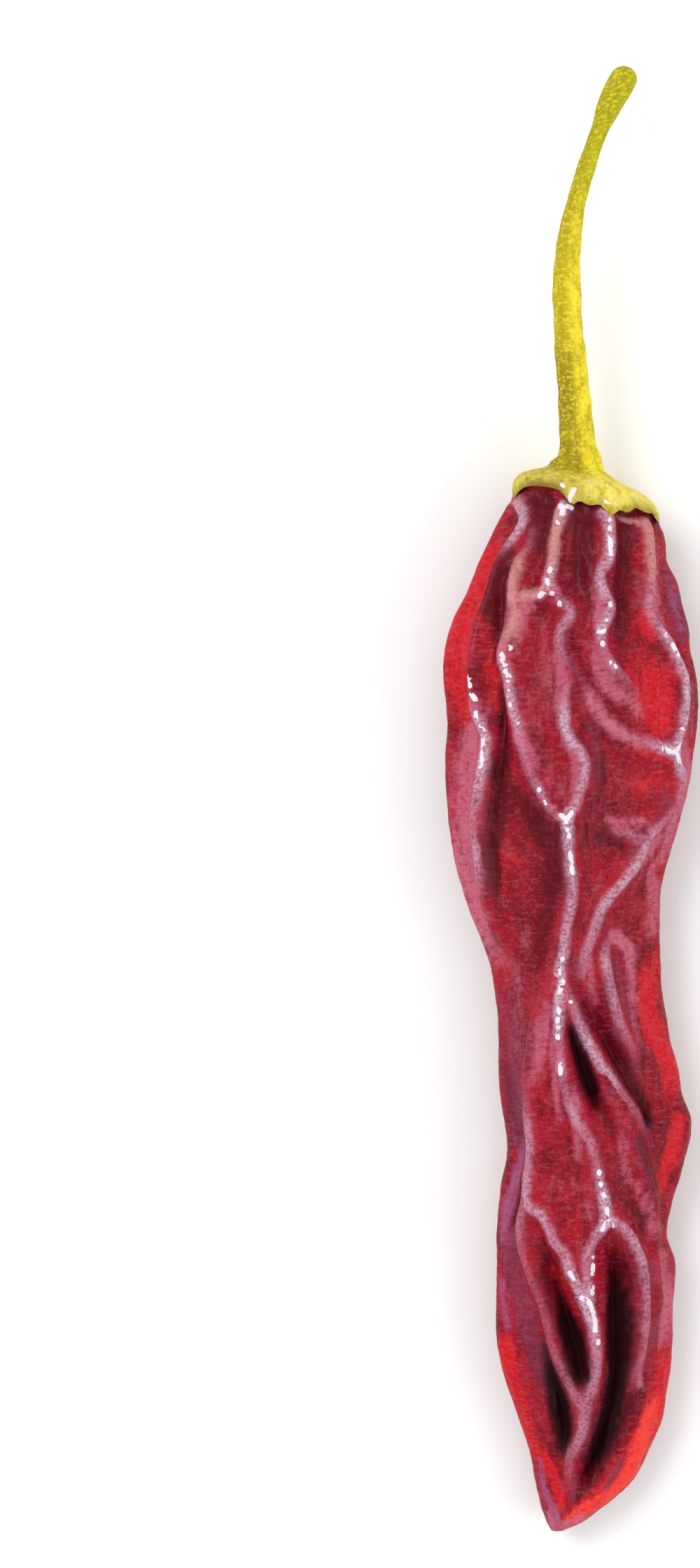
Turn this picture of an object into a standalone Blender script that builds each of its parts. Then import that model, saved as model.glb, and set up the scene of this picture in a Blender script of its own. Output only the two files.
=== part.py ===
"""One whole dried chilli lying on its side: a wrinkled pod, and the stalk with its calyx cap.

Blender works in metres with +Z up. The stalk points towards +Y, and the side with the long
folds faces up. Sizes below are in millimetres, and MM turns them into metres.
"""

import math
import random

import bmesh
import bpy
import numpy as np
from mathutils import Matrix

MM = 0.001

# Cross-sections of the pod, from the calyx down to the tip. Each row is the place along the
# pod, the left and right edges, half of the thickness, and the height of the middle.
POD_SECTIONS = (
    (32.5, -5.8, 9.0, 6.8, 8.5),
    (28.5, -9.0, 10.4, 7.8, 7.9),
    (23.0, -11.7, 12.7, 8.5, 7.5),
    (15.0, -14.5, 14.1, 8.9, 7.6),
    (5.0, -14.2, 14.0, 8.7, 7.5),
    (-6.0, -13.2, 11.3, 8.1, 7.4),
    (-18.0, -9.3, 10.2, 7.3, 7.4),
    (-28.0, -8.0, 11.4, 7.2, 7.0),
    (-37.5, -7.5, 13.8, 7.4, 6.6),
    (-49.0, -8.4, 11.0, 7.2, 6.3),
    (-59.0, -8.4, 11.9, 7.0, 6.2),
    (-68.0, -7.0, 11.1, 6.2, 5.7),
    (-76.0, -4.3, 8.6, 4.6, 4.9),
    (-80.2, -3.2, 6.2, 3.3, 4.6),
    (-82.6, -2.5, 1.6, 1.7, 4.3),
    (-83.7, -1.8, -1.2, 0.3, 4.2),
)
# The pod's blunt top, which the calyx covers, is a dome this high. Its shoulders are rounder
# towards one, where it is half an ellipsoid, and squarer below.
CROWN_HEIGHT, CROWN_ROUNDNESS = 3.4, 0.66
# The crown leans: for each millimetre to the right it stands this much lower along the pod.
CROWN_LEAN = 0.18
LEAN_FADES_OVER = 16.0

# Folds on the upper side. Each has the softness of its crest, the reach of its flanks, its height
# as a share of the full relief, and the places its crest runs through, seen from above.
UPPER_FOLDS = (
    # The rolls beside the calyx that run down the left shoulder and flank.
    (1.4, 2.4, 1.0, ((-6.0, 33.8), (-5.7, 31.6), (-8.0, 28.0), (-11.2, 19.0), (-11.4, 12.0),
                     (-10.2, 6.8), (-11.2, 0.0), (-11.4, -6.0), (-9.4, -15.0), (-7.0, -22.0))),
    # The inner left fold, from below the calyx to the first meeting of folds.
    (1.0, 1.8, 0.95, ((-4.6, 30.5), (-6.4, 26.0), (-7.6, 20.5), (-7.6, 15.5), (-6.2, 8.5),
                      (-3.8, 1.4), (-0.8, -2.3))),
    # The winding centre fold, from the calyx to the same meeting.
    (0.9, 1.7, 1.0, ((-1.2, 33.6), (-2.4, 28.6), (-2.6, 24.8), (0.1, 21.8), (-1.3, 18.4),
                     (-0.3, 14.8), (-0.6, 8.2), (1.4, 4.0), (1.0, 1.0), (-0.8, -2.3))),
    # The short link between the two folds above.
    (0.9, 1.6, 0.9, ((-2.6, 24.8), (-4.6, 23.2), (-7.0, 23.2))),
    # The long straight fold down the middle, then its slant to the lower fork.
    (0.9, 1.8, 1.0, ((-0.8, -2.3), (0.1, -9.0), (-0.6, -15.0), (-1.2, -21.8), (-1.5, -27.0),
                     (-0.9, -33.5), (2.0, -38.6), (3.1, -43.0), (3.8, -48.0))),
    # The fold that leaves the middle for the right flank.
    (0.9, 1.8, 1.0, ((-1.0, -20.5), (0.7, -24.6), (3.2, -30.2), (7.0, -34.6), (10.6, -38.8))),
    # The long left fold that swings in to the middle and ends at the tip.
    (0.9, 1.9, 1.0, ((-1.6, -21.8), (-4.4, -25.5), (-5.4, -30.6), (-5.1, -38.0), (-5.4, -45.0),
                     (-2.8, -48.8), (-0.5, -53.0), (1.5, -57.0), (2.9, -62.6), (2.7, -67.4),
                     (1.2, -71.0), (-0.6, -76.4), (-1.5, -82.0))),
    # The fold outside it, on the lower left.
    (0.9, 1.8, 0.9, ((-5.5, -45.6), (-6.3, -50.0), (-4.7, -55.4), (-2.9, -60.8), (-0.7, -65.6),
                     (1.3, -69.8))),
    # The two arms of the lower fork.
    (0.9, 1.7, 1.0, ((3.8, -48.0), (2.2, -51.8), (1.6, -57.0))),
    (1.0, 1.9, 1.0, ((3.8, -48.0), (6.4, -48.8), (8.2, -53.6), (8.5, -61.4), (8.5, -67.0),
                     (7.6, -73.0))),
    # The folds on the right shoulder and the right of the belly.
    (0.9, 1.7, 1.0, ((3.8, 33.2), (4.6, 28.8), (3.4, 25.4), (4.6, 22.0), (3.6, 18.8), (4.9, 15.2),
                     (8.8, 11.0))),
    (1.3, 1.9, 0.8, ((2.4, 11.8), (6.2, 7.4), (11.3, 5.7))),
    (0.9, 1.8, 1.0, ((8.8, 32.6), (9.4, 28.0), (9.4, 22.0), (12.2, 17.2), (13.5, 11.6),
                     (12.1, 5.6), (12.8, 1.6), (11.0, -3.2), (6.4, -9.2), (2.6, -14.6), (1.2, -20.2))),
    (1.0, 1.6, 0.8, ((3.2, -3.2), (6.4, -3.6), (8.8, -5.2))),
    # The folds of the right flank below the belly.
    (0.9, 1.7, 0.9, ((5.4, -15.6), (4.4, -20.0), (5.6, -25.0), (7.6, -29.4), (10.6, -33.6))),
    (1.2, 1.9, 0.8, ((4.2, -33.8), (7.2, -42.5), (10.3, -47.4), (10.8, -54.0), (10.6, -60.0))),
)
# Deep gullies where the skin tucks in: half of the width, depth, and places.
UPPER_GULLIES = (
    (1.4, 1.8, ((-8.9, 14.6), (-8.3, 6.6), (-9.0, -0.6), (-8.6, -10.0))),
    (1.3, 2.6, ((0.4, -26.0), (1.2, -30.4), (2.6, -33.8), (3.8, -36.4))),
    (1.3, 2.0, ((2.2, -23.6), (4.8, -29.2), (7.6, -32.4), (10.2, -36.0))),
    (1.4, 2.6, ((-3.9, -52.6), (-2.2, -57.6), (-0.2, -62.4), (0.6, -65.4))),
    (1.4, 2.2, ((-5.6, -57.0), (-4.2, -64.4), (-2.4, -69.2), (-2.0, -73.6))),
    (1.7, 2.8, ((4.8, -51.8), (5.2, -58.0), (5.0, -65.4), (4.0, -70.6), (2.2, -76.0))),
)
# Folds of the underside run the length of the pod. Each has its angle from straight up at the
# calyx, its drift over the length, and how far it wanders, all in degrees.
UNDER_FOLDS = ((118.0, 14.0, 9.0), (152.0, -12.0, 11.0), (186.0, 8.0, 10.0), (222.0, -10.0, 9.0),
               (250.0, 6.0, 8.0))
UNDER_CREST, UNDER_REACH = 0.8, 2.2
# The flanks are full and round, so that the folds leave the pod's outline as it is.
FLANK_ANGLE, FLANK_CREST, FLANK_REACH = 90.0, 2.6, 2.4

RELIEF_SHARE = 0.31  # how far the skin sinks between folds, as a share of half the thickness
RELIEF_STARTS_OVER = 1.6  # millimetres from either end of the body in which the relief comes in
# Just below the calyx the folds stand a little proud, level with the calyx's own skin.
COLLAR_RISE, COLLAR_REACH = 0.6, 1.5
SMALL_CREASES, SMALL_CREASE_DEPTH = 9, 0.14
POD_ROWS, POD_AROUND = 84, 56
UPPER_SIDE_FINENESS = 0.3  # how much closer the points stand on the upper side

# The stalk's route from the calyx to its free end: place along the pod, place across, height
# and radius.
STALK_ROUTE = (
    (39.2, 1.0, 8.7, 2.5),
    (41.4, 0.8, 8.8, 2.12),
    (46.5, 0.3, 9.2, 1.85),
    (54.5, -0.4, 9.8, 1.65),
    (61.0, -0.5, 10.2, 1.52),
    (66.5, 0.2, 10.2, 1.18),
    (72.0, 1.7, 9.9, 1.02),
    (77.0, 3.5, 9.5, 1.08),
    (79.8, 4.7, 9.3, 1.45),
    (82.4, 6.2, 9.1, 1.62),
)
STALK_ROWS, STALK_AROUND = 26, 32
# The foot of the stalk: its place across the calyx, its radius, and the flare round it.
FOOT_ACROSS, FOOT_RADIUS = 1.2, 2.9
FLARE_HEIGHT, FLARE_REACH = 1.1, 0.5
CALYX_GAP = 0.3  # to the pod inside it
CALYX_THICKNESS, RIM_THICKNESS = 0.95, 0.3
# The rim reaches down to this latitude of the crown, and this much further at its lobes.
RIM_LATITUDE, LOBE_REACH = 78.0, 7.0
LOBE_ANGLES = (-88.0, -24.0, 17.0, 76.0, 128.0, 180.0, 232.0)
LOBE_WIDTH = 15.0
CALYX_ROWS, LINING_ROWS = 7, 4


def smooth_curve(knots, values, at):
    """The value at each place of a smooth curve that runs through values at the rising knots."""
    slopes = np.gradient(values, knots)
    left = np.clip(np.searchsorted(knots, at) - 1, 0, len(knots) - 2)
    span = knots[left + 1] - knots[left]
    t = (at - knots[left]) / span
    bend_in, bend_out = t * (1 - t) ** 2 * span, t**2 * (1 - t) * span
    rise = t**2 * (3 - 2 * t)
    ends = values[left] * (1 - rise) + values[left + 1] * rise
    return ends + slopes[left] * bend_in - slopes[left + 1] * bend_out


def section_at(along):
    """Middle across, half width, half thickness and height of the middle of the pod there."""
    rows = np.array(POD_SECTIONS[::-1])
    left, right, thick, height = (
        smooth_curve(rows[:, 0], rows[:, column], along) for column in range(1, 5)
    )
    return (left + right) / 2, (right - left) / 2, thick, height


def lean(across, along):
    """How far the leaning crown moves a point along the pod. It fades out down the shoulder."""
    crown_middle = section_at(np.array(POD_SECTIONS[0][0]))[0]
    fade = np.clip((along - POD_SECTIONS[0][0] + LEAN_FADES_OVER) / LEAN_FADES_OVER, 0, 1)
    return -CROWN_LEAN * (across - crown_middle) * fade


def crown_point(latitude, angle, offset):
    """A point of the leaning crown, moved out by the offset. Angles are in radians, from +Z to +X."""
    middle, width, thick, height = section_at(np.array(POD_SECTIONS[0][0]))
    outward, upward = np.sin(latitude) ** CROWN_ROUNDNESS, np.cos(latitude) ** CROWN_ROUNDNESS
    x = middle + (width + offset) * outward * np.sin(angle)
    y = POD_SECTIONS[0][0] + (CROWN_HEIGHT + offset) * upward
    z = height + (thick + offset) * outward * np.cos(angle)
    return np.stack((x, y + lean(x, POD_SECTIONS[0][0]) + 0 * z, z), axis=-1)


def skin_point(along, angle):
    """A point of the pod's plain skin, with no relief, and the way out from it."""
    middle, width, thick, height = section_at(along)
    x = middle + width * np.sin(angle)
    z = height + thick * np.cos(angle)
    out = np.stack((thick * np.sin(angle), 0 * z, width * np.cos(angle)), axis=-1)
    return (
        np.stack((x, along + lean(x, along), z), axis=-1),
        out / np.linalg.norm(out, axis=-1, keepdims=True),
    )


def line_on_top(places, steps=28):
    """Points of the plain skin along a smooth line through places seen from above."""
    places = np.array(places, float)
    knots = np.concatenate(([0], np.cumsum(np.linalg.norm(np.diff(places, axis=0), axis=1))))
    at = np.linspace(0, knots[-1], steps)
    x, y = (smooth_curve(knots, places[:, i], at) for i in (0, 1))
    along = np.clip(y - lean(x, y), POD_SECTIONS[-1][0], POD_SECTIONS[0][0])
    middle, width, _, _ = section_at(along)
    return skin_point(along, np.arcsin(np.clip((x - middle) / width, -0.98, 0.98)))[0]


def line_underneath(start, drift, wander, phase, steps=60):
    """Points of the plain skin along a fold that wanders down the length of the pod."""
    share = np.linspace(0, 1, steps)
    along = POD_SECTIONS[0][0] + share * (POD_SECTIONS[-2][0] - POD_SECTIONS[0][0])
    swing = np.sin(phase + 11 * share) + 0.5 * np.sin(2.3 * phase + 23 * share)
    return skin_point(along, np.radians(start + drift * share + wander * swing))[0]


def distance_to(line, points):
    """The distance from each point to a line of short straight pieces."""
    nearest = np.full(points.shape[:-1], np.inf)
    for start, end in zip(line[:-1], line[1:]):
        piece = end - start
        share = np.clip((points - start) @ piece / max(piece @ piece, 1e-9), 0, 1)
        gap = np.linalg.norm(points - start - share[..., None] * piece, axis=-1)
        nearest = np.minimum(nearest, gap)
    return nearest


def crest(distance, softness, reach):
    """A fold's height across it: one at its rounded crest, with hollow flanks on both sides."""
    return np.exp((softness - np.hypot(distance, softness)) / reach)


def fold_heights(points):
    """How high the folds hold the skin up at each point, from nought to one."""
    rng = random.Random(7)
    heights = []
    for softness, reach, height, places in UPPER_FOLDS:
        heights.append(height * crest(distance_to(line_on_top(places), points), softness, reach))
    for start, drift, wander in UNDER_FOLDS:
        line = line_underneath(start, drift, wander, rng.uniform(0, math.tau))
        heights.append(0.95 * crest(distance_to(line, points), UNDER_CREST, UNDER_REACH))
    for side in (-1, 1):
        line = line_underneath(side * FLANK_ANGLE, 0, 0, 0)
        heights.append(0.9 * crest(distance_to(line, points), FLANK_CREST, FLANK_REACH))
    together = 4
    return np.minimum(sum(h**together for h in heights) ** (1 / together), 1)


def small_creases(along, angle):
    """Fine creases that run down the pod and wander, as an offset of the skin."""
    rng = random.Random(21)
    total = 0 * angle
    for _ in range(SMALL_CREASES):
        around, down = rng.choice((5, 7, 9, 11)), rng.uniform(0.1, 0.3)
        total = total + np.sin(around * angle + down * along + rng.uniform(0, math.tau))
    return SMALL_CREASE_DEPTH * total / math.sqrt(SMALL_CREASES)


def relief(points, along, angle):
    """How far the dried skin lies above or below the plain skin at each point."""
    thick = section_at(along)[2]
    folds = fold_heights(points)
    total = small_creases(along, angle) - RELIEF_SHARE * thick * (1 - folds)
    for width, depth, places in UPPER_GULLIES:
        away = distance_to(line_on_top(places), points) / width
        total = total - depth * (1 - folds) * np.exp(-(away**2))
    below_calyx = POD_SECTIONS[0][0] - along
    above_tip = along - POD_SECTIONS[-1][0]
    total = total + COLLAR_RISE * folds * np.exp(1 - below_calyx / COLLAR_REACH)
    fade = np.minimum(below_calyx, above_tip) / RELIEF_STARTS_OVER
    return total * np.clip(fade, 0, 1)


def wrapped_skin(name, rows, material):
    """An object from rows of points: a grid wrapped round, welded at its seam and its two ends.

    Each row goes once round the piece, and the first and last rows are single points repeated.
    """
    count, around = len(rows), len(rows[0])
    bm = bmesh.new()
    bmesh.ops.create_grid(bm, x_segments=around, y_segments=count - 1, size=1)
    bm.verts.ensure_lookup_table()
    for number, vert in enumerate(bm.verts):
        row, place = divmod(number, around + 1)
        vert.co = rows[row][place % around] * MM
    bmesh.ops.remove_doubles(bm, verts=bm.verts, dist=1e-7)
    bmesh.ops.recalc_face_normals(bm, faces=bm.faces)
    mesh = bpy.data.meshes.new(name)
    bm.to_mesh(mesh)
    bm.free()
    mesh.shade_smooth()
    mesh.materials.append(material)
    piece = bpy.data.objects.new(name, mesh)
    bpy.context.scene.collection.objects.link(piece)
    return piece


def make_material(name, colour, roughness):
    material = bpy.data.materials.new(name)
    material.use_nodes = True
    shader = material.node_tree.nodes["Principled BSDF"]
    shader.inputs["Base Color"].default_value = (*colour, 1)
    shader.inputs["Roughness"].default_value = roughness
    return material


def make_pod():
    """The dried fruit: crown, wrinkled body and crooked tip in one closed skin."""
    angle = np.linspace(-math.pi, math.pi, POD_AROUND, endpoint=False)
    angle = angle - UPPER_SIDE_FINENESS * np.sin(angle)
    rows = [crown_point(latitude, angle, 0) for latitude in np.radians((0, 16, 36, 56, 72, 83))]
    share = np.linspace(0, 1, POD_ROWS)
    # Rows stand closer together towards the tip, where the outline turns in.
    share = 1 - (1 - share) ** 1.25
    top, tip = POD_SECTIONS[0][0], POD_SECTIONS[-1][0]
    for along in top + share * (tip - top):
        points, out = skin_point(along, angle)
        points = points + relief(points, along, angle)[:, None] * out
        points[:, 2] = np.maximum(points[:, 2], 0)  # the skin lies flat where it meets the table
        rows.append(points)
    rows.append(np.tile(rows[-1].mean(axis=0), (POD_AROUND, 1)))
    return wrapped_skin("pod", rows, make_material("dried_skin", (0.34, 0.015, 0.03), 0.35))


def rim_latitude(angle):
    """How far down the crown the calyx reaches at each angle, with its pointed lobes."""
    reach = 0 * angle
    for lobe in np.radians(LOBE_ANGLES):
        away = np.abs((angle - lobe + math.pi) % math.tau - math.pi)
        reach = np.maximum(reach, np.exp(-((away / math.radians(LOBE_WIDTH)) ** 2)))
    return np.radians(RIM_LATITUDE + LOBE_REACH * reach)


def stalk_rows(angle):
    """Rings of the bare stalk, from its rounded free end down to its foot."""
    route = np.array(STALK_ROUTE)
    along = np.linspace(route[-1, 0], route[0, 0], STALK_ROWS)
    x, z, radius = (smooth_curve(route[:, 0], route[:, i], along) for i in (1, 2, 3))
    middle = np.stack((x, along, z), axis=-1)
    ahead = np.gradient(middle, axis=0)
    ahead /= np.linalg.norm(ahead, axis=1, keepdims=True)
    right = np.cross((0, 0, 1), ahead)
    right /= np.linalg.norm(right, axis=1, keepdims=True)
    up = np.cross(ahead, right)
    rings = [
        m + r * (np.outer(np.sin(angle), a) + np.outer(np.cos(angle), b))
        for m, r, a, b in zip(middle, radius, right, up)
    ]
    end = [
        middle[0] + (rings[0] - middle[0]) * math.cos(turn) - ahead[0] * radius[0] * math.sin(turn)
        for turn in np.radians((90, 60, 30))
    ]
    return end + rings


def calyx_rows(angle):
    """Rings of the calyx: the flare at the stalk's foot, the cap, its rim, and its lining."""
    rim = rim_latitude(angle)
    crown_middle, width, _, _ = section_at(np.array(POD_SECTIONS[0][0]))
    start = math.asin((FOOT_RADIUS / width) ** (1 / CROWN_ROUNDNESS))
    rows = []
    for share in np.linspace(0, 1, CALYX_ROWS) ** 1.4:
        latitude = start + share * (rim - start)
        offset = CALYX_GAP + CALYX_THICKNESS + share * (RIM_THICKNESS - CALYX_THICKNESS)
        cap = crown_point(latitude, angle, offset)
        away = width * np.sin(latitude) ** CROWN_ROUNDNESS - FOOT_RADIUS
        flare = np.exp(-away / FLARE_REACH)
        cap[:, 1] += FLARE_HEIGHT * flare
        cap[:, 0] += (FOOT_ACROSS - crown_middle) * flare
        rows.append(cap)
    for share in np.linspace(1, 0, LINING_ROWS + 1):
        rows.append(crown_point(share * rim, angle, CALYX_GAP))
    return rows


def make_stalk():
    """The stalk and the calyx, which grow as one piece."""
    angle = np.linspace(-math.pi, math.pi, STALK_AROUND, endpoint=False)
    rows = stalk_rows(angle) + calyx_rows(angle)
    return wrapped_skin("stalk", rows, make_material("stalk_skin", (0.66, 0.53, 0.05), 0.6))


def centre_over_origin(pieces):
    """Move the pieces together, so that the origin lies below the middle of the whole chilli."""
    points = np.array([vert.co for piece in pieces for vert in piece.data.vertices])
    low, high = points.min(axis=0), points.max(axis=0)
    middle = (low + high) / 2
    for piece in pieces:
        piece.data.transform(Matrix.Translation((-middle[0], -middle[1], -low[2])))


def main():
    for old in list(bpy.data.objects):
        bpy.data.objects.remove(old)
    centre_over_origin((make_pod(), make_stalk()))


main()
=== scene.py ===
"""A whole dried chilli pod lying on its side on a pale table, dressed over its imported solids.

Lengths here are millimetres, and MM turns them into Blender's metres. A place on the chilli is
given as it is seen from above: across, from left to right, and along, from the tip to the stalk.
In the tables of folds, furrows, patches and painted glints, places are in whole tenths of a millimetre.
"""

import math
import random

import bpy
import numpy as np
from mathutils import Matrix, Vector, noise


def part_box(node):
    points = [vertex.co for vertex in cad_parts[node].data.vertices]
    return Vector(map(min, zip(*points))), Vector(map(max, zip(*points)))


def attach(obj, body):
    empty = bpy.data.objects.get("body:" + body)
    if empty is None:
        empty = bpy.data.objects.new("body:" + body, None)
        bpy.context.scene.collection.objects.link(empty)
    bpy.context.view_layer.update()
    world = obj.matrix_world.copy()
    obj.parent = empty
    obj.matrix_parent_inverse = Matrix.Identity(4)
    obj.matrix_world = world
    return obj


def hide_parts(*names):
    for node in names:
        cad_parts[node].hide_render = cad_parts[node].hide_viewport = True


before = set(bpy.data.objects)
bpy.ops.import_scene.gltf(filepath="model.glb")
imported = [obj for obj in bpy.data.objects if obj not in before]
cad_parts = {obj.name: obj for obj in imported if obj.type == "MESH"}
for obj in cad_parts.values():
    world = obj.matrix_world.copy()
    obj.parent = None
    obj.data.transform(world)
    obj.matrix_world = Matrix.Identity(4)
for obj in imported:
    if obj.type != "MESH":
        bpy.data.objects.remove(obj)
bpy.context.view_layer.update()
bpy.ops.object.select_all(action="DESELECT")

# The pod is the dried wall of the fruit: a thin, glossy, leathery skin that shrank as it dried.
# It stands up in long winding folds, sinks into hollows between them, and tucks into a few deep
# furrows, and it lies flat where it meets the table.
MM = 0.001
# Its outline from above: the place along the pod, and its left and right edges.
POD_OUTLINE = (
    (32.5, -6.6, 10.0), (30.5, -8.0, 10.7), (28.5, -9.1, 10.9), (26.0, -10.4, 12.1),
    (23.0, -11.7, 12.8), (20.0, -13.4, 13.5), (17.0, -14.4, 13.7), (14.0, -14.6, 14.4),
    (11.0, -14.3, 14.6), (8.0, -14.1, 14.4), (5.0, -14.3, 14.0), (2.0, -14.3, 13.6),
    (-1.0, -14.1, 12.9), (-4.0, -13.8, 12.1), (-7.0, -13.3, 11.2), (-10.0, -12.5, 10.4),
    (-13.0, -11.5, 10.2), (-16.0, -10.3, 10.2), (-19.0, -9.2, 10.3), (-22.0, -8.7, 10.5),
    (-25.0, -8.3, 11.0), (-28.0, -8.2, 11.5), (-31.0, -8.2, 12.4), (-34.0, -8.0, 12.9),
    (-36.5, -7.6, 13.8), (-38.5, -7.3, 13.8), (-41.0, -7.3, 13.2), (-44.0, -7.9, 12.4),
    (-47.0, -8.2, 11.5), (-50.0, -8.4, 11.1), (-53.0, -8.4, 12.0), (-56.0, -8.4, 12.0),
    (-59.0, -8.5, 11.8), (-62.0, -8.4, 11.8), (-65.0, -7.9, 11.6), (-68.0, -7.0, 11.1),
    (-71.0, -5.9, 10.7), (-74.0, -4.9, 9.5), (-76.5, -4.3, 8.4), (-78.5, -3.9, 7.2),
    (-80.5, -3.5, 5.2), (-82.0, -3.1, 3.2), (-83.3, -2.6, 1.4), (-84.2, -2.1, -0.6),
)
# Its girth: the place along the pod, half of the thickness, and the height of its middle.
POD_GIRTH = (
    (32.5, 6.8, 8.5), (28.5, 7.8, 7.9), (23.0, 8.5, 7.5), (15.0, 8.9, 7.6), (5.0, 8.7, 7.5),
    (-6.0, 8.1, 7.4), (-18.0, 7.3, 7.4), (-28.0, 7.2, 7.0), (-37.5, 7.4, 6.6), (-49.0, 7.2, 6.3),
    (-59.0, 7.0, 6.2), (-68.0, 6.2, 5.7), (-76.0, 4.6, 4.9), (-80.5, 3.4, 4.6), (-83.0, 2.2, 4.4),
    (-84.2, 1.0, 4.3),
)
POD_TOP, POD_TIP = POD_OUTLINE[0][0], POD_OUTLINE[-1][0]
CROWN_HEIGHT, CROWN_ROUNDNESS, CROWN_SLOPE = 3.4, 0.70, 0.08
CROWN_LEAN, LEAN_FADES_OVER = 0.18, 16.0
SKIN_AROUND, CROWN_ROWS, BODY_ROWS = 192, 18, 496
TOP_FINENESS = 0.5  # how much closer together the points round the pod are on the shown side
ROW_CROWDING = 1.2  # and how much closer the rows of them are towards the tip
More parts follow.
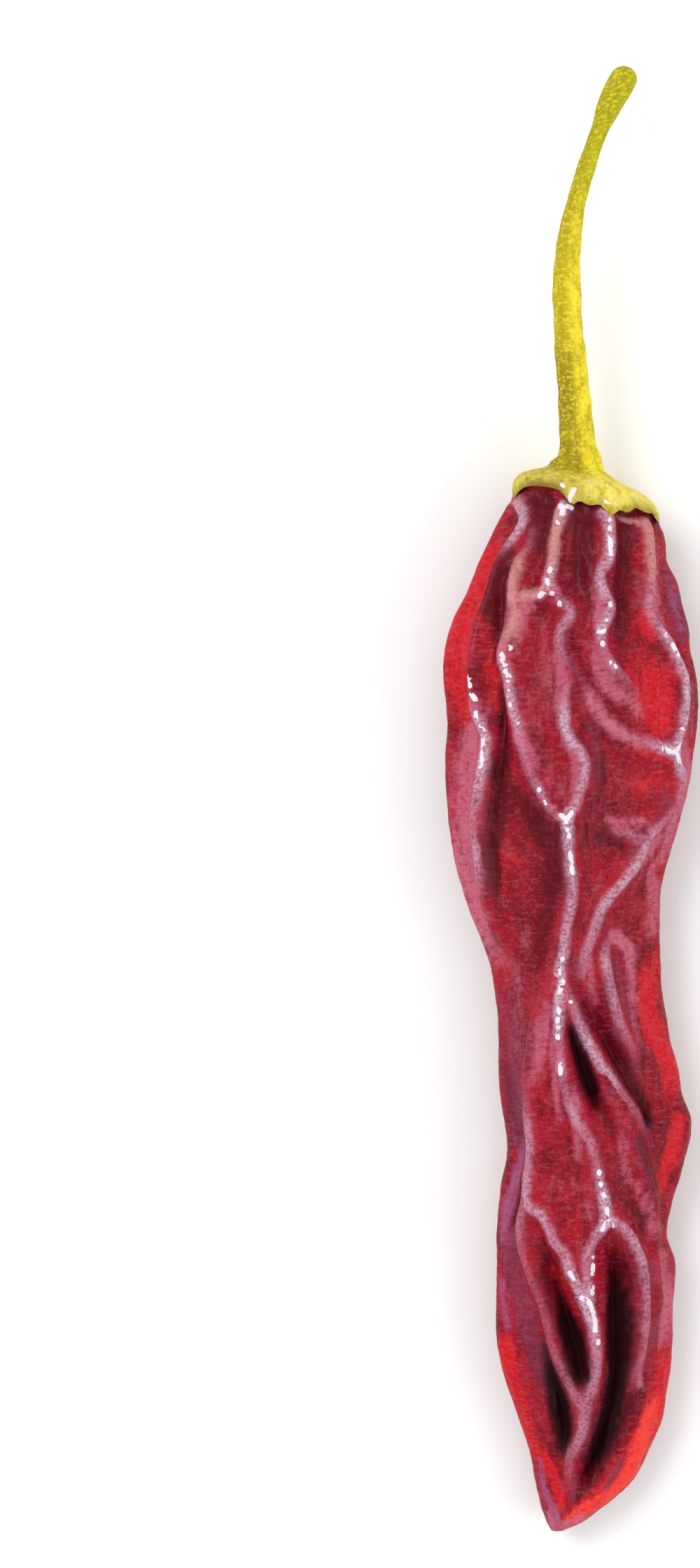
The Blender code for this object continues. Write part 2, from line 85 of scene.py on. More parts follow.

# Folds of the shown side. Each is a rounded cord on a skirt that falls away to both sides. It has
# the cord's half width, the skirt's reach, its height as a share of the full relief, and the
# places it runs through, each with how strong the highlight painted on its crest is there, of 100.
UPPER_FOLDS = (
    # The fold on the left shoulder, and the roll that it becomes down the left flank.
    (1.30, 2.6, 1.00, ((-60, 355, 60), (-62, 336, 80), (-57, 321, 85), (-63, 306, 85), (-74, 292, 70),
        (-87, 272, 5), (-102, 227, 5), (-115, 179, 5), (-118, 144, 10), (-117, 122, 25), (-114, 100, 60),
        (-106, 82, 85), (-102, 68, 100), (-104, 49, 100), (-107, 30, 90), (-112, 2, 75), (-114, -24, 50),
        (-112, -55, 70), (-111, -65, 80), (-105, -109, 35), (-93, -154, 25), (-81, -192, 20))),
    # The inner left fold, down to the first meeting of folds.
    (0.95, 2.2, 0.95, ((-47, 305, 30), (-53, 286, 40), (-64, 269, 50), (-71, 248, 55), (-72, 229, 60),
        (-68, 216, 50), (-72, 197, 45), (-81, 179, 45), (-86, 161, 60), (-80, 144, 70), (-75, 125, 75),
        (-72, 104, 80), (-66, 85, 80), (-63, 68, 55), (-59, 52, 50), (-52, 33, 45), (-41, 13, 60),
        (-32, -4, 60), (-22, -15, 50), (-9, -23, 90))),
    # The winding centre fold, from the calyx to the same meeting.
    (0.85, 2.1, 1.00, ((-10, 352, 80), (-13, 333, 100), (-18, 316, 85), (-22, 300, 60), (-25, 279, 55),
        (-27, 260, 80), (-30, 244, 90), (-23, 237, 55), (-16, 224, 55), (-5, 214, 65), (-6, 203, 70),
        (-16, 192, 65), (-18, 177, 60), (-13, 161, 50), (-8, 147, 30), (-6, 134, 25), (-11, 118, 45),
        (-12, 99, 90), (-11, 81, 100), (-5, 66, 90), (5, 56, 75), (11, 45, 80), (11, 27, 80), (7, 10, 70),
        (1, -6, 70), (-6, -16, 90), (-9, -24, 100))),
    # The short link between the two folds above.
    (0.80, 1.8, 0.85, ((-30, 244, 90), (-36, 235, 80), (-43, 230, 60), (-55, 230, 45), (-71, 229, 50))),
    # The long straight fold down the middle, and its slant to the lower fork.
    (0.85, 2.2, 1.00, ((-9, -23, 100), (-7, -39, 90), (-6, -55, 80), (-6, -58, 70), (-3, -80, 85),
        (-1, -99, 70), (-2, -118, 75), (-7, -137, 75), (-10, -156, 75), (-13, -178, 80), (-16, -197, 90),
        (-15, -213, 100), (-17, -229, 90), (-18, -251, 95), (-18, -270, 70), (-17, -286, 40),
        (-15, -305, 80), (-12, -321, 45), (-8, -337, 50), (-3, -352, 70), (5, -368, 70), (15, -381, 60),
        (22, -397, 60), (25, -409, 50), (28, -422, 60), (31, -436, 75), (35, -449, 90), (37, -467, 100))),
    # The fold that leaves the middle for the right flank.
    (0.90, 2.1, 1.00, ((-14, -208, 50), (-4, -227, 60), (3, -245, 60), (11, -264, 80), (21, -283, 85),
        (31, -300, 80), (44, -318, 75), (56, -335, 50), (70, -350, 40), (85, -368, 35), (98, -377, 30))),
    # The long left fold that swings in to the middle and ends at the tip.
    (0.90, 2.2, 1.00, ((-19, -205, 40), (-30, -220, 20), (-40, -239, 15), (-48, -257, 25), (-52, -284, 25),
        (-55, -313, 25), (-55, -338, 30), (-54, -364, 60), (-52, -378, 70), (-51, -396, 70),
        (-53, -421, 70), (-55, -443, 75), (-51, -463, 80), (-38, -472, 75), (-30, -485, 70),
        (-23, -502, 70), (-11, -515, 70), (-5, -533, 80), (2, -546, 80), (9, -562, 90), (17, -579, 95),
        (24, -599, 90), (26, -616, 75), (27, -636, 65), (25, -658, 65), (19, -678, 60), (14, -696, 60),
        (11, -721, 65), (3, -738, 60), (-4, -752, 55), (-7, -768, 40), (-8, -787, 20))),
    # The fold outside it, on the lower left.
    (0.90, 2.1, 0.95, ((-55, -454, 50), (-62, -474, 60), (-64, -492, 55), (-61, -510, 45), (-54, -532, 40),
        (-43, -560, 35), (-35, -585, 35), (-28, -611, 35), (-20, -633, 40), (-10, -655, 45), (1, -675, 55),
        (10, -689, 60))),
    # The two arms of the lower fork.
    (0.85, 2.0, 1.00, ((37, -481, 100), (26, -495, 65), (19, -508, 65), (15, -527, 65), (16, -546, 70),
        (17, -568, 90))),
    (0.95, 2.2, 1.00, ((37, -477, 100), (47, -479, 75), (57, -485, 70), (69, -497, 75), (77, -513, 75),
        (83, -532, 70), (86, -555, 60), (87, -577, 60), (85, -599, 55), (83, -619, 40), (83, -645, 35),
        (80, -667, 25))),
    # The folds on the right shoulder and the right of the belly.
    (0.85, 2.1, 1.00, ((32, 339, 70), (39, 320, 85), (40, 305, 85), (42, 289, 100), (40, 271, 90),
        (31, 257, 75), (31, 243, 85), (37, 229, 80), (42, 215, 75), (38, 203, 75), (31, 189, 90),
        (33, 174, 55), (38, 162, 50), (45, 150, 70), (55, 140, 40), (68, 128, 30), (80, 115, 25),
        (87, 101, 20))),
    (1.20, 2.4, 0.85, ((15, 123, 25), (25, 103, 35), (37, 87, 35), (55, 74, 35), (72, 66, 40), (88, 62, 50),
        (103, 58, 85), (119, 54, 100))),
    (0.95, 2.2, 1.00, ((84, 327, 45), (88, 306, 50), (91, 291, 50), (93, 271, 45), (91, 252, 45),
        (90, 233, 65), (88, 217, 65), (93, 203, 65), (104, 190, 80), (115, 176, 85), (122, 162, 95),
        (129, 148, 100), (133, 134, 100), (134, 118, 100), (132, 100, 100), (129, 81, 75), (123, 67, 90),
        (120, 54, 100), (124, 40, 95), (130, 27, 80), (128, 13, 55), (123, -2, 55), (115, -18, 55),
        (101, -31, 60), (89, -43, 75), (81, -63, 75), (73, -76, 80), (60, -93, 80), (44, -109, 80),
        (32, -125, 75), (25, -143, 65), (19, -162, 70), (14, -181, 70), (10, -199, 50))),
    (0.85, 1.8, 0.80, ((88, -44, 50), (79, -47, 50), (70, -39, 55), (56, -35, 50))),
    # The folds of the right flank below the belly.
    (0.90, 2.0, 0.90, ((46, -156, 35), (41, -174, 70), (41, -189, 75), (43, -207, 60), (48, -229, 65),
        (56, -255, 60), (66, -275, 40), (76, -298, 25), (89, -319, 15))),
    (1.30, 2.4, 0.80, ((37, -314, 10), (53, -343, 15), (68, -378, 15), (85, -420, 15), (99, -460, 15),
        (104, -531, 20), (107, -576, 25), (103, -621, 20))),
)
# Deep furrows, where the skin tucks in: half of the width, the depth, and the places with how
# dark the furrow is there, of 100: how black its painted shade is, and how fully it sinks.
UPPER_FURROWS = (
    (0.60, 2.2, ((-83, 273, 30), (-91, 222, 30), (-91, 170, 30), (-88, 126, 40), (-86, 81, 40),
        (-90, 43, 45), (-97, 5, 50), (-102, -33, 50), (-97, -72, 40), (-96, -110, 30))),
    (0.75, 2.8, ((-1, -262, 80), (5, -281, 100), (12, -304, 100), (20, -326, 90), (26, -345, 60))),
    (1.10, 2.0, ((13, -227, 30), (30, -256, 35), (48, -288, 45), (71, -323, 45), (91, -352, 50),
        (100, -369, 50))),
    (1.05, 2.6, ((-42, -503, 20), (-29, -534, 30), (-15, -575, 55), (-4, -607, 95), (5, -633, 100),
        (10, -653, 95))),
    (1.10, 2.4, ((-46, -577, 35), (-36, -621, 50), (-27, -664, 80), (-19, -696, 100), (-14, -723, 100),
        (-11, -746, 60))),
    (1.25, 3.0, ((52, -505, 10), (56, -534, 55), (57, -576, 95), (58, -621, 100), (59, -653, 100),
        (53, -686, 100), (43, -719, 100), (30, -749, 80), (16, -776, 35), (3, -800, 5))),
)
# Folds of the underside: angle from straight up at the calyx, drift over the length and how far
# they wander, in degrees.
UNDER_FOLDS = ((118.0, 14.0, 9.0), (152.0, -12.0, 11.0), (186.0, 8.0, 10.0), (222.0, -10.0, 9.0),
               (250.0, 6.0, 8.0))
UNDER_CORD, UNDER_REACH, UNDER_HEIGHT, UNDER_HIGHLIGHT = 1.1, 2.6, 0.95, 0.45
UNDER_SEED = 7
FLANK_ANGLE, FLANK_CORD, FLANK_REACH = 90.0, 2.6, 4.0
RELIEF_SHARE, CORD_SHARE, CREST_ROUNDING, FOLD_SHARPNESS = 0.31, 0.20, 0.5, 4
FAR = 7.0  # from this far on, a fold does nothing to the skin
# A fold that ends in open skin, and not at another fold or under the calyx, sinks away there.
MEETING_GAP, CALYX_COVER, OPEN_END_TAPER = 2.0, 2, (-0.5, 5.0)
FULL_DEPTH_FROM, BLACK_SPREAD = 0.5, 1.8  # of a furrow
# The folds swell a little where they come out from under the calyx.
COLLAR_RISE, COLLAR_PLACE, COLLAR_REACH = 0.35, 0.6, 1.6
# Wrinkles finer than the folds: the width of one, its length, and how high it stands.
WRINKLES = ((3.2, 10.0, 0.36), (1.4, 4.6, 0.17), (0.8, 2.0, 0.06))
WRINKLE_SEED, SEED_STEP, RIDGE_WIDTH, RIDGE_MIDDLE = 3.7, 11, 0.25, 0.6
# The crests are smoother, but beaded.
CREST_FROM, CREST_SMOOTHNESS = 0.6, 0.8
BEAD_LENGTH, BEAD_HEIGHT, BEAD_SEED = 1.5, 0.05, 61.3
# The relief fades out under the calyx and at the very tip.
CROWN_FADE, TIP_FADE = (-2.1, -0.3), (0, 1.6)


def smooth_curve(knots, values, at):
    """The value at each place of a smooth curve that runs through values at the rising knots."""
    slopes = np.gradient(values, knots)
    left = np.clip(np.searchsorted(knots, at) - 1, 0, len(knots) - 2)
    span = knots[left + 1] - knots[left]
    t = (at - knots[left]) / span
    bend_in, bend_out = t * (1 - t) ** 2 * span, t**2 * (1 - t) * span
    rise = t**2 * (3 - 2 * t)
    ends = values[left] * (1 - rise) + values[left + 1] * rise
    return ends + slopes[left] * bend_in - slopes[left + 1] * bend_out


def ease(low, high, value):
    """A smooth step from nought at low to one at high."""
    t = np.clip((value - low) / (high - low), 0, 1)
    return t * t * (3 - 2 * t)


def section_at(along):
    """Middle across, half width, half thickness and height of the middle of the pod there."""
    outline, girth = np.array(POD_OUTLINE[::-1]), np.array(POD_GIRTH[::-1])
    left, right = (smooth_curve(outline[:, 0], outline[:, column], along) for column in (1, 2))
    thick, height = (smooth_curve(girth[:, 0], girth[:, column], along) for column in (1, 2))
    return (left + right) / 2, (right - left) / 2, thick, height


def lean(across, along):
    """How far the leaning crown moves a point along the pod. It fades out down the shoulder."""
    crown_middle = section_at(np.array(POD_TOP))[0]
    fade = np.clip((along - POD_TOP + LEAN_FADES_OVER) / LEAN_FADES_OVER, 0, 1)
    return -CROWN_LEAN * (across - crown_middle) * fade


def crown_point(latitude, angle, offset):
    """A point of the leaning crown, moved out by the offset. Angles are from +Z towards +X.

    Its left shoulder is square, and the right one slopes.
    """
    middle, width, thick, height = section_at(np.array(POD_TOP))
    roundness = CROWN_ROUNDNESS + CROWN_SLOPE * np.sin(angle)
    outward, upward = np.sin(latitude) ** roundness, np.cos(latitude) ** roundness
    x = middle + (width + offset) * outward * np.sin(angle)
    y = POD_TOP + (CROWN_HEIGHT + offset) * upward
    z = height + (thick + offset) * outward * np.cos(angle)
    return np.stack((x, y + lean(x, POD_TOP) + 0 * z, z), axis=-1)


def skin_point(along, angle):
    """A point of the pod's plain skin, with no relief, and the way out from it."""
    middle, width, thick, height = section_at(along)
    x = middle + width * np.sin(angle)
    z = height + thick * np.cos(angle)
    out = np.stack((thick * np.sin(angle), 0 * z, width * np.cos(angle)), axis=-1)
    return (
        np.stack((x, along + lean(x, along), z), axis=-1),
        out / np.linalg.norm(out, axis=-1, keepdims=True),
    )


def lengths_along(points):
    """How long a line is from its start to each of its points."""
    return np.concatenate(([0], np.cumsum(np.linalg.norm(np.diff(points, axis=0), axis=1))))


def line_on_top(places, steps=4, widest=0.98):
    """Points of the plain skin on a smooth line through places, and its strength there, up to 1.

    The places are in tenths of a millimetre, and the strengths in hundredths.
    """
    places = np.array(places)
    spots, strengths = places[:, :2] / 10, places[:, -1] / 100
    knots = lengths_along(spots)
    at = np.linspace(0, knots[-1], 1 + steps * (len(places) - 1))
    x, y = (smooth_curve(knots, spots[:, i], at) for i in (0, 1))
    along = np.clip(y - lean(x, y), POD_TIP, POD_TOP)
    middle, width, _, _ = section_at(along)
    line = skin_point(along, np.arcsin(np.clip((x - middle) / width, -widest, widest)))[0]
    return line, np.interp(at, knots, strengths)


def line_underneath(start, drift, wander, phase, steps=60):
    """Points of the plain skin along a fold that wanders down the length of the pod."""
    share = np.linspace(0, 1, steps)
    along = POD_TOP + share * (POD_OUTLINE[-2][0] - POD_TOP)
    swing = np.sin(phase + 11 * share) + 0.5 * np.sin(2.3 * phase + 23 * share)
    return skin_point(along, np.radians(start + drift * share + wander * swing))[0]


def beside(line, values, points):
    """For each point, its distance from a line, if it isn't far, and the line's value beside it."""
    near = ((points > line.min(axis=0) - FAR) & (points < line.max(axis=0) + FAR)).all(axis=-1)
    close = points[near]
    gap, value = np.full(len(close), FAR), np.zeros(len(close))
    for i, (start, end) in enumerate(zip(line[:-1], line[1:])):
        piece = end - start
        share = np.clip((close - start) @ piece / max(piece @ piece, 1e-9), 0, 1)
        away = np.linalg.norm(close - start - share[:, None] * piece, axis=1)
        value = np.where(away < gap, values[i] + share * (values[i + 1] - values[i]), value)
        gap = np.minimum(gap, away)
    gaps, beside_values = np.full(points.shape[:-1], FAR), np.zeros(points.shape[:-1])
    gaps[near], beside_values[near] = gap, value
    return gaps, beside_values


def crest(distance, cord, reach):
    """A fold's height across it, one at its crest: a rounded cord on a skirt."""
    skirt = np.exp((CREST_ROUNDING - np.hypot(distance, CREST_ROUNDING)) / reach)
    return CORD_SHARE * np.exp(-((distance / cord) ** 2)) + (1 - CORD_SHARE) * skirt


def wrinkle_field(points, width, length, seed):
    """Ridges of noise drawn out along the pod: one on a ridge and near nought in the hollows."""
    offset = Vector((seed, seed * 0.7, seed * 1.3))
    field = np.empty(points.shape[:-1])
    stretch = (1 / width, 1 / length, 1 / width)
    for place in np.ndindex(field.shape):
        x, y, z = (c * s for c, s in zip(points[place], stretch))
        field[place] = noise.noise(Vector((x, y, z)) + offset)
    return 1 / (1 + (field / RIDGE_WIDTH) ** 2)


def ball_of_rows(name, rows):
    """A UV sphere whose rings are laid on rows of points. The first and last rows are its poles.

    Also gives the row and the place in it of each vertex, for attributes.
    """
    count, around = rows.shape[:2]
    bpy.ops.mesh.primitive_uv_sphere_add(segments=around, ring_count=count - 1, radius=1)
    piece = bpy.context.object
    piece.name = piece.data.name = name
    ball = np.empty(len(piece.data.vertices) * 3, np.float32)
    piece.data.vertices.foreach_get("co", ball)
    x, y, z = ball.reshape(-1, 3).T
    row = np.rint(np.arctan2(np.hypot(x, y), z) / math.pi * (count - 1)).astype(int)
    place = np.rint(np.arctan2(y, x) / math.tau * around).astype(int) % around
    piece.data.vertices.foreach_set("co", (rows[row, place] * MM).ravel())
    piece.data.update()
    bpy.ops.object.shade_smooth()
    return piece, row, place


def put_attribute(piece, name, values, kind="FLOAT"):
    """Stores a number or a vector at each vertex, for the material to read."""
    attribute = piece.data.attributes.new(name, kind, "POINT")
    slot = "value" if kind == "FLOAT" else "vector"
    attribute.data.foreach_set(slot, np.ascontiguousarray(values, np.float32).ravel())


angle = np.linspace(0, math.tau, SKIN_AROUND, endpoint=False)[None, :]
angle = angle - TOP_FINENESS * np.sin(angle)
latitude = np.linspace(0, math.pi / 2, CROWN_ROWS, endpoint=False)[:, None]
share = np.linspace(0, 1, BODY_ROWS)[:, None]
along = POD_TOP + (1 - (1 - share) ** ROW_CROWDING) * (POD_TIP - POD_TOP)
body, outward = skin_point(along, angle)
tip = body[-1:].mean(axis=1, keepdims=True).repeat(SKIN_AROUND, 1)
plain = np.concatenate((crown_point(latitude, angle, 0), body, tip))
outward = np.concatenate((outward[:1].repeat(CROWN_ROWS, 0), outward, outward[-1:]))
below_top = np.concatenate(
    ((latitude - math.pi / 2) * CROWN_HEIGHT, POD_TOP - along, POD_TOP - along[-1:]))
above_tip = POD_TOP - POD_TIP - below_top
half_thick = section_at(np.clip(POD_TOP - below_top, POD_TIP, POD_TOP))[2]

shape = plain.shape[:-1]
fold_share, crest_gap, crest_highlight = np.zeros(shape), np.full(shape, FAR), np.zeros(shape)
lines = [line_on_top(places) for _, _, _, places in UPPER_FOLDS]
for number, (cord, reach, height, _) in enumerate(UPPER_FOLDS):
    line, highlight_strength = lines[number]
    lift = np.ones(len(line))
    others = np.concatenate([other for i, (other, _) in enumerate(lines) if i != number])
    from_start = lengths_along(line)
    for end, from_end in ((0, from_start), (-1, from_start[-1] - from_start)):
        apart = np.linalg.norm(others - line[end], axis=1).min()
        if apart > MEETING_GAP and line[end][1] < POD_TOP - CALYX_COVER:
            lift *= ease(*OPEN_END_TAPER, from_end)
    gap, raised = beside(line, lift, plain)
    gap, highlight_beside = beside(line, highlight_strength, plain)
    fold_share += (height * raised * crest(gap, cord, reach)) ** FOLD_SHARPNESS
    crest_highlight = np.where(gap < crest_gap, highlight_beside, crest_highlight)
    crest_gap = np.minimum(crest_gap, gap)
rng = random.Random(UNDER_SEED)
for start, drift, wander in UNDER_FOLDS:
    line = line_underneath(start, drift, wander, rng.uniform(0, math.tau))
    gap, highlight_beside = beside(line, np.full(len(line), UNDER_HIGHLIGHT), plain)
    fold_share += (UNDER_HEIGHT * crest(gap, UNDER_CORD, UNDER_REACH)) ** FOLD_SHARPNESS
    crest_highlight = np.where(gap < crest_gap, highlight_beside, crest_highlight)
    crest_gap = np.minimum(crest_gap, gap)
for side in (-1, 1):
    line = line_underneath(side * FLANK_ANGLE, 0, 0, 0)
    gap = beside(line, np.ones(len(line)), plain)[0]
    fold_share += crest(gap, FLANK_CORD, FLANK_REACH) ** FOLD_SHARPNESS
fold_share = np.minimum(fold_share ** (1 / FOLD_SHARPNESS), 1)

sunk = -RELIEF_SHARE * half_thick * (1 - fold_share)
furrow_shade = np.zeros(shape)
for width, depth, places in UPPER_FURROWS:
    gap, blackness = beside(*line_on_top(places), plain)
    sunk = sunk - depth * (1 - fold_share) * np.exp(-gap / width) * ease(0, FULL_DEPTH_FROM, blackness)
    furrow_shade = np.maximum(furrow_shade, blackness * np.exp(-((gap / (BLACK_SPREAD * width)) ** 2)))
wrinkled = np.zeros(shape)
for number, (width, length, height) in enumerate(WRINKLES):
    field = wrinkle_field(plain, width, length, WRINKLE_SEED + SEED_STEP * number)
    wrinkled += height * (field - RIDGE_MIDDLE)
on_crest = ease(CREST_FROM, 1.0, fold_share)
sunk = sunk + wrinkled * (1 - CREST_SMOOTHNESS * on_crest)
beaded = wrinkle_field(plain, BEAD_LENGTH, BEAD_LENGTH, BEAD_SEED)
sunk = sunk + BEAD_HEIGHT * on_crest * (beaded - RIDGE_MIDDLE)
sunk = sunk + COLLAR_RISE * fold_share**3 * np.exp(-np.abs(below_top - COLLAR_PLACE) / COLLAR_REACH)
fade = ease(*CROWN_FADE, below_top) * ease(*TIP_FADE, above_tip)
skin = plain + (sunk * fade)[..., None] * outward
skin[..., 2] = np.maximum(skin[..., 2], 0)

pod, row, place = ball_of_rows("dried_pod", skin)
put_attribute(pod, "skin_place", plain[row, place], "FLOAT_VECTOR")
for name, values in (
    ("hollow", 1 - fold_share), ("furrow_shade", furrow_shade), ("crest_gap", crest_gap),
    ("crest_highlight", crest_highlight),
):
    put_attribute(pod, name, values[row, place])
